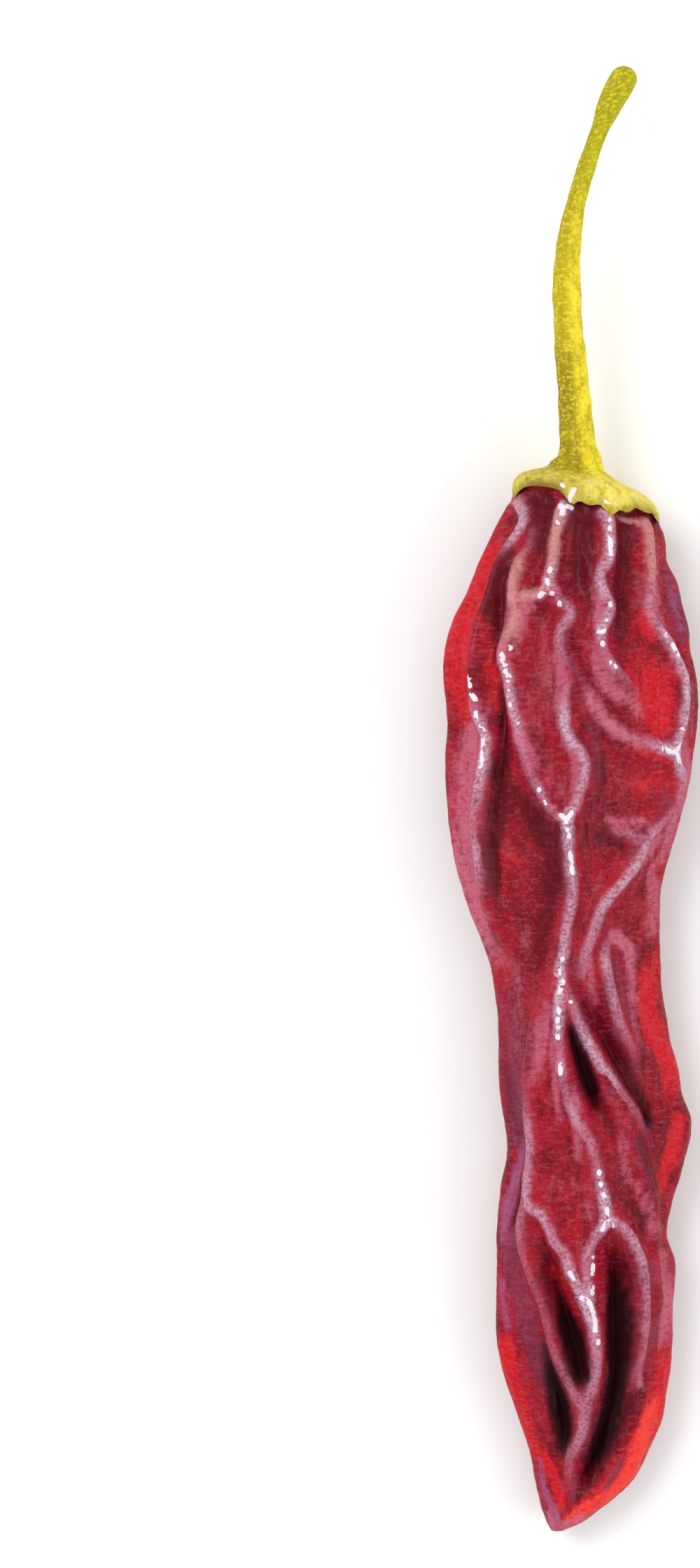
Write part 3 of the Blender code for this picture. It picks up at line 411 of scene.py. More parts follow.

# Patches where the skin dried to another colour, and patches of painted shade and painted
# reflection: half of the width, and the places with the patch's strength there, of 100.
PATCHES = {"scarlet": (
    (1.5, ((-90, 296, 30), (-98, 280, 80), (-111, 251, 95), (-124, 219, 100), (-133, 194, 100),
        (-137, 164, 100), (-137, 136, 95), (-132, 113, 90), (-129, 94, 60))),
    (1.0, ((-106, 202, 40), (-102, 170, 50), (-99, 138, 60), (-98, 106, 50))),
    (0.8, ((85, 211, 70), (88, 195, 90), (98, 183, 50))),
    (2.1, ((88, 157, 50), (101, 132, 95), (104, 113, 100), (105, 91, 80))),
    (1.2, ((67, 144, 60), (81, 122, 80), (93, 100, 90), (105, 81, 80))),
    (0.6, ((67, 63, 50), (85, 54, 90), (105, 48, 70), (119, 37, 40))),
    (1.8, ((71, 16, 30), (85, 14, 60), (108, 24, 50))),
    (1.3, ((103, -184, 50), (95, -206, 70), (94, -231, 75), (101, -257, 80), (110, -283, 90),
        (119, -306, 80), (123, -328, 60))),
    (0.8, ((131, -366, 90), (128, -385, 100), (123, -411, 100), (115, -437, 70), (110, -459, 40))),
    (0.8, ((-80, -618, 70), (-79, -641, 90), (-71, -673, 100), (-58, -709, 100), (-46, -742, 100),
        (-32, -763, 100), (-21, -785, 90), (-14, -808, 70))),
    (1.5, ((119, -634, 50), (115, -667, 85), (106, -699, 100), (94, -724, 100), (80, -748, 100),
        (66, -768, 100), (48, -792, 100), (19, -815, 90))),
    (0.9, ((-31, -532, 40), (-16, -554, 50), (0, -582, 40))),
    (1.4, ((-7, -433, 35), (0, -465, 35), (8, -496, 30))),
    (1.0, ((-70, -71, 40), (-75, -65, 40), (-83, -97, 35), (-79, -135, 20))),
), "coral": (
    (1.0, ((105, -688, 50), (94, -717, 100), (83, -743, 100), (72, -773, 90), (54, -794, 90),
        (29, -809, 90), (3, -826, 100))),
), "rose": (
    (1.6, ((-113, 100, 60), (-122, 72, 90), (-128, 37, 90), (-128, -2, 95), (-126, -40, 95),
        (-126, -65, 95), (-120, -97, 90), (-113, -130, 80), (-104, -159, 60), (-95, -184, 40))),
    (1.4, ((-79, -180, 30), (-72, -212, 35), (-71, -250, 30), (-69, -282, 20))),
    (1.0, ((-30, -236, 50), (-37, -262, 80), (-41, -287, 70), (-46, -319, 45))),
    (0.8, ((-26, -268, 50), (-24, -300, 50), (-21, -341, 60), (-19, -363, 40))),
    (1.1, ((-55, 220, 70), (-65, 195, 60), (-71, 169, 40))),
    (0.8, ((-77, 220, 60), (-81, 195, 80), (-83, 169, 70), (-80, 138, 100), (-76, 112, 80), (-71, 87, 60))),
    (0.9, ((-63, 71, 80), (-54, 54, 90), (-46, 37, 50))),
    (0.6, ((-14, 62, 40), (-4, 55, 80), (2, 40, 90), (0, 18, 70), (-6, -1, 40))),
    (1.6, ((-55, 112, 30), (-46, 68, 30), (-33, 33, 30), (-17, 8, 35))),
    (1.5, ((-42, 191, 20), (-32, 156, 40), (-30, 119, 40), (-30, 93, 20))),
    (1.2, ((-65, -131, 20), (-63, -157, 35), (-60, -182, 25))),
    (0.8, ((-3, -831, 70), (16, -822, 60))),
    (0.9, ((-20, 160, 60), (-15, 134, 90), (-16, 106, 80), (-15, 84, 40))),
    (1.2, ((21, 175, 40), (31, 156, 75), (36, 136, 75), (51, 122, 70), (70, 112, 50), (83, 97, 40))),
    (0.8, ((26, 235, 50), (31, 215, 80), (27, 194, 60))),
    (1.3, ((98, 279, 50), (99, 259, 80), (100, 240, 95), (103, 221, 85), (109, 202, 60))),
    (0.9, ((43, -22, 40), (63, -27, 50), (84, -25, 50))),
    (0.8, ((20, -182, 40), (21, -201, 60), (26, -229, 40))),
    (1.0, ((106, -45, 80), (98, -56, 100), (87, -73, 60))),
    (0.8, ((-2, -328, 50), (2, -350, 70), (4, -385, 60), (3, -407, 50))),
    (1.1, ((20, 115, 60), (32, 98, 80), (49, 78, 60), (72, 68, 70), (95, 62, 60))),
    (0.7, ((142, 130, 40), (141, 94, 60), (136, 62, 80), (136, 30, 80), (128, -5, 80), (119, -37, 70),
        (113, -69, 60), (107, -72, 60), (101, -110, 60), (99, -152, 50))),
    (1.0, ((55, -155, 80), (74, -168, 95), (77, -205, 60), (80, -243, 45), (88, -288, 30))),
    (0.9, ((38, -328, 30), (54, -360, 20), (59, -395, 50), (68, -427, 45), (85, -450, 40),
        (103, -494, 50))),
    (0.9, ((-22, -819, 70), (-16, -834, 90), (-6, -835, 80))),
    (0.8, ((110, -520, 60), (116, -553, 70), (116, -592, 70), (112, -623, 50))),
    (0.8, ((87, -601, 50), (86, -633, 60), (87, -666, 50))),
    (1.2, ((-25, -437, 30), (12, -442, 30), (19, -471, 40))),
    (0.6, ((-106, 75, 60), (-109, 56, 100), (-113, 30, 90))),
    (0.7, ((-17, -277, 50), (-16, -299, 70))),
# Plum: partly own colour, partly painted shade beside folds and a painted reflection at the top right.
), "plum": (
    (0.8, ((112, 263, 40), (125, 235, 60), (133, 206, 75), (138, 181, 60))),
    (0.5, ((-9, 188, 70), (-10, 169, 90), (-3, 152, 90), (8, 134, 60))),
    (1.2, ((21, 81, 50), (27, 49, 50), (27, 11, 40), (24, -14, 30))),
    (1.6, ((-80, -225, 50), (-74, -270, 70), (-70, -315, 80), (-66, -353, 80), (-62, -398, 60))),
    (0.7, ((41, -204, 60), (46, -236, 60), (59, -268, 50))),
    (0.8, ((57, -179, 50), (64, -217, 60), (72, -256, 40))),
    (0.5, ((72, -387, 40), (79, -415, 40), (93, -441, 40))),
    (0.6, ((116, 2, 60), (102, -21, 60), (89, -33, 50))),
    (1.3, ((-76, -491, 60), (-74, -526, 90), (-69, -557, 100), (-61, -595, 100), (-48, -633, 90),
        (-39, -665, 60))),
    (1.1, ((98, -608, 50), (87, -640, 75), (82, -669, 50))),
    (0.6, ((64, -758, 80), (49, -782, 80), (41, -794, 40))),
    (0.5, ((2, -777, 60), (0, -804, 70))),
    (0.6, ((97, -531, 50), (95, -569, 60), (94, -602, 40))),
# Violet: a painted reflection along the top right edge, the lower left edge and the tip.
), "violet": (
    (0.5, ((-63, -392, 60), (-67, -418, 100), (-73, -443, 100), (-78, -470, 90), (-80, -483, 70),
        (-81, -509, 40))),
    (0.4, ((124, 254, 50), (135, 222, 60), (140, 194, 50))),
    (0.4, ((-40, -758, 50), (-32, -790, 70), (-22, -819, 80), (-14, -834, 60))),
    (0.4, ((-82, -551, 50), (-81, -592, 60), (-80, -605, 50))),
# Maroon: partly painted shade, in the dark cells between the folds and round the furrows.
), "maroon": (
    (1.9, ((-41, 346, 100), (-40, 322, 100), (-40, 296, 80), (-43, 261, 40))),
    (1.0, ((25, 68, 40), (34, 43, 80), (34, 14, 70), (24, -11, 50))),
    (2.1, ((9, 329, 100), (10, 299, 100), (10, 270, 90), (11, 239, 55), (13, 201, 30))),
    (1.0, ((-73, 291, 50), (-78, 275, 90), (-86, 253, 90), (-94, 227, 90), (-100, 202, 60))),
    (1.0, ((-18, -33, 90), (-16, -55, 100), (-17, -65, 90), (-19, -99, 70))),
    (1.0, ((14, -11, 40), (15, -39, 60), (15, -52, 60), (18, -74, 30))),
    (0.7, ((-93, 49, 70), (-95, 24, 80))),
    (1.7, ((61, 319, 90), (61, 287, 100), (60, 249, 85), (57, 207, 70), (60, 176, 50))),
    (0.9, ((-82, 233, 50), (-93, 195, 70), (-95, 157, 60))),
    (0.7, ((-90, 128, 60), (-87, 94, 90), (-84, 62, 90))),
    (1.2, ((-84, 52, 70), (-86, 33, 90), (-89, 8, 90), (-93, -24, 90), (-102, -65, 80), (-98, -97, 70),
        (-97, -119, 30))),
    (1.5, ((-71, 8, 70), (-49, -20, 90), (-30, -46, 100), (-23, -58, 100), (-25, -90, 90), (-31, -128, 70),
        (-42, -173, 50))),
    (1.4, ((37, -42, 70), (56, -49, 80), (66, -59, 50))),
    (1.4, ((25, -242, 40), (47, -277, 80), (70, -316, 90), (89, -348, 100), (96, -367, 80))),
    (0.8, ((17, 84, 50), (9, 78, 60), (24, 43, 40))),
    (1.0, ((58, -619, 50), (71, -574, 50), (67, -532, 50), (54, -500, 50))),
    (0.9, ((70, -459, 60), (84, -471, 90), (89, -499, 50))),
    (1.2, ((-40, -507, 60), (-33, -536, 90), (-22, -570, 90), (-9, -605, 90), (4, -663, 60))),
    (1.2, ((-44, -626, 60), (-37, -649, 90), (-23, -684, 90), (-16, -737, 80))),
    (1.4, ((58, -667, 80), (52, -703, 90), (34, -743, 80), (15, -780, 60))),
    (1.2, ((83, -679, 70), (69, -707, 70), (50, -737, 80), (29, -770, 90), (10, -797, 60))),
    (1.2, ((25, -331, 50), (35, -356, 70), (47, -382, 50))),
    (1.1, ((79, -387, 95), (88, -412, 90), (96, -438, 60))),
    (0.8, ((-80, -303, 50), (-75, -334, 80), (-69, -366, 80), (-62, -423, 50), (-72, -468, 70),
        (-75, -526, 50))),
), "tan": (
    (0.8, ((-17, 323, 80), (-23, 293, 100), (-26, 264, 80))),
    (0.4, ((53, 323, 50), (70, 325, 80), (87, 324, 80))),
    (0.9, ((-61, 281, 20), (-65, 268, 90), (-71, 246, 80), (-70, 220, 90), (-71, 201, 100),
        (-75, 182, 60))),
    (0.7, ((-30, 240, 40), (-42, 233, 90), (-58, 231, 90))),
    (0.8, ((83, 331, 90), (90, 307, 100), (93, 278, 100), (93, 253, 70))),
    (0.5, ((43, 326, 90), (46, 302, 70))),
    (0.6, ((-65, 344, 60), (-58, 330, 50))),
)}
# Painted highlights: white glints, in beads and dashes, on the crests.
PAINTED_GLINTS = (
    ((-3, 345), (-8, 338), (-13, 322)), ((-16, 350), (-10, 337)), ((-18, 313), (-18, 312)),
    ((40, 315), (40, 314)), ((40, 306), (40, 305)), ((41, 295), (42, 272)), ((-27, 260), (-28, 257)),
    ((-30, 247), (-30, 244)), ((-40, 229), (-33, 235), (-25, 232)), ((-17, 221), (-17, 219)),
    ((41, 220), (41, 219)), ((37, 201), (37, 200)), ((28, 188), (35, 190)), ((32, 176), (32, 174)),
    ((42, 154), (46, 149)), ((103, 190), (107, 186)), ((114, 176), (121, 164)), ((-75, 172), (-75, 170)),
    ((-83, 164), (-82, 157)), ((-79, 151), (-79, 144)), ((-75, 139), (-75, 134)), ((-74, 122), (-75, 117)),
    ((-73, 107), (-73, 106)), ((-67, 92), (-65, 86)), ((-118, 139), (-117, 128)),
    ((-116, 120), (-112, 113)), ((-112, 101), (-110, 90)), ((-106, 82), (-102, 76)),
    ((-103, 67), (-103, 52), (-106, 37)), ((126, 79), (126, 78)), ((104, 58), (115, 54), (125, 65)),
    ((118, 52), (123, 41)), ((-40, 11), (-40, 10)), ((-33, -3), (-33, -4)),
    ((-15, -18), (-9, -22), (-3, -15)), ((-9, -27), (-8, -33)), ((-6, -40), (-6, -42)),
    ((-4, -60), (-3, -74)), ((-4, -60), (-4, -61)), ((-3, -72), (-2, -83)), ((-13, -179), (-13, -180)),
    ((-14, -187), (-15, -196)), ((-12, -205), (-16, -219)), ((-4, -229), (-4, -230)),
    ((-17, -237), (-17, -241)), ((-18, -248), (-17, -258)), ((-18, -268), (-18, -270)),
    ((-15, -299), (-15, -310)), ((29, -421), (29, -423)), ((31, -435), (31, -436)),
    ((34, -447), (35, -448)), ((38, -464), (39, -475), (33, -487)), ((47, -482), (47, -483)),
    ((-4, -536), (0, -544)), ((23, -519), (23, -520)), ((23, -528), (22, -537)), ((22, -552), (22, -559)),
    ((9, -564), (16, -567), (22, -578), (25, -589), (25, -603)), ((29, -614), (29, -616)),
)
GLINT_HALF_WIDTH = 0.55
PATCH_FLATNESS = np.array((1, 1, 0.35))  # a patch runs on over the edge of the pod

for name, patches in PATCHES.items():
    mask = np.zeros(shape)
    for width, places in patches:
        line, strengths = line_on_top(places)
        gap, strength = beside(line * PATCH_FLATNESS, strengths, plain * PATCH_FLATNESS)
        mask = np.maximum(mask, strength * np.exp(-((gap / width) ** 2)))
    put_attribute(pod, name, mask[row, place])
painted_glint = np.zeros(shape)
for places in PAINTED_GLINTS:
    line = line_on_top(places)[0]
    gap = beside(line, np.ones(len(line)), plain)[0]
    painted_glint = np.maximum(painted_glint, 1 - gap / GLINT_HALF_WIDTH)
put_attribute(pod, "painted_glint", painted_glint[row, place])


def new_material(name):
    """A material with only its Principled shader and its output, and the tree and the shader."""
    material = bpy.data.materials.new(name)
    material.use_nodes = True
    return material, material.node_tree, material.node_tree.nodes["Principled BSDF"]


def read(tree, attribute, output="Fac"):
    """The output of a node that reads an attribute of the piece."""
    node = tree.nodes.new("ShaderNodeAttribute")
    node.attribute_name = attribute
    return node.outputs[output]


def noise_of(place, stretch, scale, detail=4.0, roughness=0.55):
    """Noise over the given place, which is first stretched on each axis."""
    tree = place.id_data
    mapping = tree.nodes.new("ShaderNodeMapping")
    mapping.inputs["Scale"].default_value = stretch
    tree.links.new(place, mapping.inputs["Vector"])
    node = tree.nodes.new("ShaderNodeTexNoise")
    node.inputs["Scale"].default_value = scale
    node.inputs["Detail"].default_value = detail
    node.inputs["Roughness"].default_value = roughness
    tree.links.new(mapping.outputs["Vector"], node.inputs["Vector"])
    return node.outputs["Fac"]


def span(value, low, high, to_low=0.0, to_high=1.0):
    """The value, moved smoothly from the range low to high to another range, and kept inside."""
    node = value.id_data.nodes.new("ShaderNodeMapRange")
    node.interpolation_type = "SMOOTHSTEP"
    for end, number in (("From Min", low), ("From Max", high), ("To Min", to_low), ("To Max", to_high)):
        node.inputs[end].default_value = number
    value.id_data.links.new(value, node.inputs["Value"])
    return node.outputs["Result"]


def combine(kind, *values):
    """An output and more outputs or numbers, joined one by one by Math nodes of the given kind."""
    joined, tree = values[0], values[0].id_data
    for value in values[1:]:
        node = tree.nodes.new("ShaderNodeMath")
        node.operation = kind
        for socket, part in zip(node.inputs, (joined, value)):
            if isinstance(part, (int, float)):
                socket.default_value = part
            else:
                tree.links.new(part, socket)
        joined = node.outputs["Value"]
    return joined


def times(*values):
    """The product of an output and more outputs or numbers."""
    return combine("MULTIPLY", *values)


def roughened(value, grain, amount):
    """The value with some of the grain, a noise about one half, added to it."""
    return combine("ADD", value, times(combine("SUBTRACT", grain, 0.5), amount))


def paint(below, colour, amount):
    """A layer of colour over the one below it, as thick as the amount."""
    tree = amount.id_data
    node = tree.nodes.new("ShaderNodeMix")
    node.data_type = "RGBA"
    tree.links.new(amount, node.inputs["Factor"])
    for socket, value in ((node.inputs["A"], below), (node.inputs["B"], colour)):
        if isinstance(value, tuple):
            socket.default_value = (*value, 1)
        else:
            tree.links.new(value, socket)
    return node.outputs["Result"]


def add_bump(shader, height, strength, distance):
    """Relief that is too fine for the mesh, from a height and how deep one of it is."""
    tree = height.id_data
    bump = tree.nodes.new("ShaderNodeBump")
    bump.inputs["Strength"].default_value = strength
    bump.inputs["Distance"].default_value = distance * MM
    tree.links.new(height, bump.inputs["Height"])
    tree.links.new(bump.outputs["Normal"], shader.inputs["Normal"])


CRIMSON, DEEP_CRIMSON = (0.325, 0.006, 0.016), (0.165, 0.002, 0.007)
DUSTY_ROSE, MAROON = (0.42, 0.078, 0.135), (0.085, 0.002, 0.006)
# Each patch's attribute, its colour, the most of it and how evenly it covers.
SKIN_PATCHES = (
    ("maroon", MAROON, 0.97, 0.85), ("scarlet", (0.58, 0.009, 0.012), 0.95, 0.6),
    ("coral", (0.86, 0.050, 0.03), 1.0, 0.6), ("plum", (0.18, 0.028, 0.060), 0.85, 0.6),
    ("rose", (0.54, 0.13, 0.20), 0.9, 0.5), ("violet", (0.29, 0.080, 0.19), 0.9, 0.6),
    ("tan", (0.56, 0.25, 0.22), 0.75, 0.6),
)
# Painted shade for the furrows, painted highlights for the crests, and the painted glints' white.
NEARLY_BLACK = (0.011, 0.002, 0.003)
ROSY_HIGHLIGHT, PALE_HIGHLIGHT, TAN_HIGHLIGHT = (0.45, 0.20, 0.29), (0.55, 0.40, 0.51), (0.58, 0.28, 0.25)
GLINT_WHITE = (0.74, 0.69, 0.75)

skin_material, tree, shader = new_material("dried_skin")
spot = read(tree, "skin_place", "Vector")
cloudy = noise_of(spot, (1, 0.5, 1), 0.4, 5)
streaky = noise_of(spot, (1, 0.35, 1), 1.3, 5, 0.6)
mottled = noise_of(spot, (0.7, 1.5, 0.7), 1.5, 6, 0.7)
grainy = noise_of(spot, (1, 1, 1), 3.0, 3, 0.7)
hatched = noise_of(spot, (0.8, 2.6, 0.8), 1.0, 5, 0.65)
glint_breakup = noise_of(spot, (1, 1, 1), 1.2, 1)
hollow = read(tree, "hollow")
layer = paint(CRIMSON, DEEP_CRIMSON, span(cloudy, 0.42, 0.62))
# Painted shade: the hollows between the folds are darkened towards maroon.
layer = paint(layer, MAROON, times(span(hollow, 0.5, 0.95, 0, 0.5), span(streaky, 0.3, 0.6, 0.6, 1)))
for name, colour, most, evenness in SKIN_PATCHES:
    edge = roughened(roughened(read(tree, name), streaky, 0.7), mottled, 0.5)
    layer = paint(layer, colour, times(
        span(edge, 0.12, 0.75, 0, most), span(mottled, 0.36, 0.54, evenness, 1),
        span(streaky, 0.36, 0.52, 0.8, 1)))
# A dusty bloom, thinner on the maroon, and darker specks.
dusty = span(read(tree, "maroon"), 0.2, 0.8, 1, 0.3)
layer = paint(layer, DUSTY_ROSE, times(
    span(mottled, 0.5, 0.7, 0, 0.25), span(hollow, 0.3, 0.9, 1, 0.4), dusty))
for grain, low, high, most in ((hatched, 0.5, 0.66, 0.32), (grainy, 0.52, 0.72, 0.36)):
    layer = paint(layer, DUSTY_ROSE, times(span(grain, low, high, 0, most), dusty))
layer = paint(layer, MAROON, span(grainy, 0.48, 0.26, 0, 0.55))
# Painted shade: the furrows are painted nearly black inside.
shaded_furrow = read(tree, "furrow_shade")
blackened = roughened(roughened(shaded_furrow, streaky, 0.5), grainy, 0.3)
layer = paint(layer, NEARLY_BLACK, span(blackened, 0.25, 0.75, 0, 0.95))
# Painted highlight: the crests are painted pale, in a band that is wider where the highlight
# is stronger, with a rosy edge.
from_crest, highlight_strength = read(tree, "crest_gap"), read(tree, "crest_highlight")
layer = paint(layer, DUSTY_ROSE, times(
    span(from_crest, 0.3, 1.5, 0.55, 0), highlight_strength, span(streaky, 0.35, 0.6, 0.2, 1)))
half_highlight_band = times(combine("ADD", highlight_strength, 1.4), 0.29)
highlight_band = combine("DIVIDE", from_crest, roughened(half_highlight_band, streaky, 0.5))
highlight_colour = paint(ROSY_HIGHLIGHT, PALE_HIGHLIGHT, span(highlight_strength, 0.5, 1.05))
highlight_colour = paint(highlight_colour, TAN_HIGHLIGHT, read(tree, "tan"))
layer = paint(layer, highlight_colour, times(
    span(highlight_band, 0.4, 1.5, 1, 0), span(highlight_strength, 0.1, 0.9),
    span(grainy, 0.35, 0.6, 0.25, 1), span(mottled, 0.32, 0.55, 0.4, 1)))
# Painted glints: white beads and dashes on the crests.
glint_mask = times(read(tree, "painted_glint"), span(glint_breakup, 0.36, 0.5, 0.4, 1))
layer = paint(layer, GLINT_WHITE, span(roughened(glint_mask, grainy, 0.15), 0.42, 0.56, 0, 0.95))
tree.links.new(layer, shader.inputs["Base Color"])
roughness = combine("ADD", span(streaky, 0.3, 0.7, 0.34, 0.5), times(shaded_furrow, 0.4))
tree.links.new(roughness, shader.inputs["Roughness"])
shader.inputs["Specular IOR Level"].default_value = 0.04
shader.inputs["Coat Weight"].default_value = 0.1
shader.inputs["Coat Roughness"].default_value = 0.2
creases = combine("ADD", streaky, times(mottled, 0.6), times(grainy, 0.25))
add_bump(shader, creases, 0.5, 0.12)
pod.data.materials.append(skin_material)

# The shown pod's middle goes over the solid pod's, and the stalk moves with it.
pod_low, pod_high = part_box("pod")
corners = np.array([vert.co for vert in pod.data.vertices])
shown_middle = (corners.min(axis=0) + corners.max(axis=0)) / 2
shift = Vector((*((pod_low + pod_high) / 2 - Vector(shown_middle)).xy, 0))
pod.data.transform(Matrix.Translation(shift))
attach(pod, "root")
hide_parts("pod")

# The stalk is woody and yellow-green. It thins above its foot, ends in a small club where it was
# cut, and spreads at its foot into the calyx: a fleshy cap with a scalloped rim over the pod.
# Along its route: the place along the chilli, the middle across, the height and the radius.
STALK_ROUTE = (
    (39.1, 1.0, 8.6, 2.50), (40.4, 0.8, 8.7, 2.20), (42.0, 0.65, 8.8, 1.98), (46.5, 0.3, 9.2, 1.85),
    (54.5, -0.4, 9.8, 1.65), (61.0, -0.5, 10.2, 1.52), (66.5, 0.2, 10.2, 1.18),
    (72.0, 1.7, 9.9, 1.02), (77.0, 3.5, 9.5, 1.08), (79.8, 4.7, 9.3, 1.48), (82.0, 5.9, 9.1, 1.62),
)
STALK_AROUND, STALK_ROWS, END_ROWS, END_ROUNDNESS = 120, 180, 14, 0.9
FOOT_ACROSS, FOOT_RADIUS, FOOT_REACH = 1.1, 2.7, 4.0
FLARE_HEIGHT, FLARE_REACH = 1.1, 0.9
LINING_GAP = 0.06
CALYX_THICKNESS, RIM_THICKNESS = 0.95, 0.22
# The rim is scalloped: each lobe has its angle, its width and how far it hangs down, as a share of
# the whole reach of a lobe.
RIM_LATITUDE, LOBE_REACH = 66.0, 22.0
LOBES = (
    (-80, 18, 1.0), (-13, 8, 0.95), (0, 14, 0.82), (17, 12, 1.05), (30, 10, 0.8), (54, 16, 0.45),
    (80, 18, 0.85), (133, 15, 1.0), (180, 14, 1.0), (223, 15, 1.0),
)
LOBE_THINNING, RIM_BULGE = 0.75, 1.0
# The flesh of the cap is thicker down the lobes, thinner between them, and ribbed.
LOBE_FLESH, COMMON_FLESH, CAP_RIBS, CAP_RIB_HEIGHT, CAP_RIB_TWIST = 0.30, 0.12, 17, 0.06, 4
CALYX_ROWS, CALYX_ROW_CROWDING, EDGE_ROWS, LINING_ROWS = 50, 1.3, 5, 8
RIBS, RIB_HEIGHT, RIB_TWIST = 5, 0.018, 0.02
WOBBLES = ((0.03, 0.9, 0), (0.02, 2.1, 1))  # of the stalk's radius: size, pace and start

turn = np.linspace(0, math.tau, STALK_AROUND, endpoint=False)
route = np.array(STALK_ROUTE)
stalk_along = np.linspace(route[-1, 0], route[0, 0], STALK_ROWS)
x, z, radius = (smooth_curve(route[:, 0], route[:, i], stalk_along) for i in (1, 2, 3))
middle = np.stack((x, stalk_along, z), axis=-1)
ahead = np.gradient(middle, axis=0)
ahead /= np.linalg.norm(ahead, axis=1, keepdims=True)
right = np.cross((0, 0, 1), ahead)
right /= np.linalg.norm(right, axis=1, keepdims=True)
up = np.cross(ahead, right)
ribbed = 1 + RIB_HEIGHT * np.cos(RIBS * turn[None, :] + RIB_TWIST * stalk_along[:, None])
wobble = 1 + sum(size * np.sin(pace * stalk_along + start) for size, pace, start in WOBBLES)
ring = (radius * wobble)[:, None] * ribbed
shaft = (
    middle[:, None, :]
    + ring[..., None] * (np.sin(turn)[None, :, None] * right[:, None, :]
                         + np.cos(turn)[None, :, None] * up[:, None, :])
)
near_foot = ease(FOOT_REACH, 0, stalk_along - route[0, 0])[:, None]
shaft[..., 1] -= CROWN_LEAN * (shaft[..., 0] - FOOT_ACROSS) * near_foot
rounding = np.linspace(math.pi / 2, 0, END_ROWS, endpoint=False)[:, None, None]
cut_end = (
    middle[0] + (shaft[0] - middle[0])[None] * np.cos(rounding) ** END_ROUNDNESS
    - ahead[0] * radius[0] * np.sin(rounding)
)

lobe = np.zeros(STALK_AROUND)
for centre, width, hang in LOBES:
    away = np.abs((turn - math.radians(centre) + math.pi) % math.tau - math.pi)
    lobe = np.maximum(lobe, hang * np.exp(-((away / math.radians(width)) ** 2)))
rim = np.radians(RIM_LATITUDE + LOBE_REACH * lobe)
crown_middle, crown_width, _, _ = section_at(np.array(POD_TOP))
foot = math.asin((FOOT_RADIUS / crown_width) ** (1 / CROWN_ROUNDNESS))
down = np.linspace(0, 1, CALYX_ROWS)[:, None] ** CALYX_ROW_CROWDING
calyx_latitude = foot + down * (rim - foot)
rim_thickness = RIM_THICKNESS * (1 - LOBE_THINNING * lobe)
thickness = CALYX_THICKNESS + down * (rim_thickness - CALYX_THICKNESS)
cap_ribs = CAP_RIB_HEIGHT * np.sin(CAP_RIBS * turn + CAP_RIB_TWIST * down)
fleshy = np.sin(math.pi * down) * (LOBE_FLESH * lobe - COMMON_FLESH + cap_ribs)
cap = crown_point(calyx_latitude, turn, LINING_GAP + thickness + fleshy)
from_foot = crown_width * np.sin(calyx_latitude) ** CROWN_ROUNDNESS - FOOT_RADIUS
flare = np.exp(-from_foot / FLARE_REACH)
cap[..., 1] += FLARE_HEIGHT * flare
cap[..., 0] += (FOOT_ACROSS - crown_middle) * flare
edge_turn = np.linspace(0, math.pi, EDGE_ROWS + 2)[1:-1, None]
edge = crown_point(
    rim + math.radians(RIM_BULGE) * np.sin(edge_turn), turn,
    LINING_GAP + rim_thickness * (1 + np.cos(edge_turn)) / 2,
)
lining = crown_point(np.linspace(1, 0, LINING_ROWS)[:, None] * rim, turn, LINING_GAP)
stalk_rows = np.concatenate((cut_end, shaft, cap, edge, lining))

# A few painted glints sit on the lobes of the calyx too.
CALYX_GLINTS = (
    ((1, 350), (-4, 342), (-9, 328)), ((-13, 355), (-12, 353)), ((36, 336), (37, 334)),
)
SHOWN_ABOVE = 10  # millimetres over the table
calyx_glint = np.zeros(stalk_rows.shape[:-1])
# A glint's place is as seen from above, so what lies lower down is kept out of its reach.
seen = np.where(stalk_rows[..., 2:] > SHOWN_ABOVE, (1, 1, 0), (1, 1, 9)) * stalk_rows
for places in CALYX_GLINTS:
    line = np.array([(*spot, 0) for spot in places]) / 10
    gap = beside(line, np.ones(len(line)), seen)[0]
    calyx_glint = np.maximum(calyx_glint, 1 - gap / GLINT_HALF_WIDTH)

stalk, row, place = ball_of_rows("stalk_and_calyx", stalk_rows)
rows_before_cap = END_ROWS + STALK_ROWS
on_cap = np.clip((row - rows_before_cap) / CALYX_ROWS, 0, 1)
stalk_y = stalk_rows[row, place][:, 1]
put_attribute(stalk, "down_calyx", on_cap)
put_attribute(stalk, "painted_glint", calyx_glint[row, place])
put_attribute(stalk, "between_lobes", 1 - lobe[place])
# The grain is laid round the stalk's own core, so it runs along the stalk however that bends.
core = np.zeros((*stalk_rows.shape[:1], 1, 3))
core[:, 0, (0, 2)] = route[0, (1, 2)]
core[:rows_before_cap, 0, 0] = np.concatenate((x[:1].repeat(END_ROWS), x))
core[:rows_before_cap, 0, 2] = np.concatenate((z[:1].repeat(END_ROWS), z))
put_attribute(stalk, "grain", (stalk_rows - core)[row, place], "FLOAT_VECTOR")
put_attribute(stalk, "left_side", 0.5 - 0.5 * np.sin(turn[place]))
# Towards the foot, the shade painted down the left side grows stronger and browner.
GREENING, LEFT_SHADE_DEEPENS = (50.0, 83.0), (58.0, 44.0)  # where the end turns greener and the foot browner
put_attribute(stalk, "towards_end", ease(*GREENING, stalk_y))
put_attribute(stalk, "towards_foot", ease(*LEFT_SHADE_DEEPENS, stalk_y))

GOLD, LEMON, OLIVE = (0.51, 0.395, 0.011), (0.84, 0.68, 0.035), (0.26, 0.19, 0.006)
GREENISH, BARK, STRAW = (0.34, 0.34, 0.006), (0.10, 0.045, 0.008), (0.82, 0.68, 0.19)

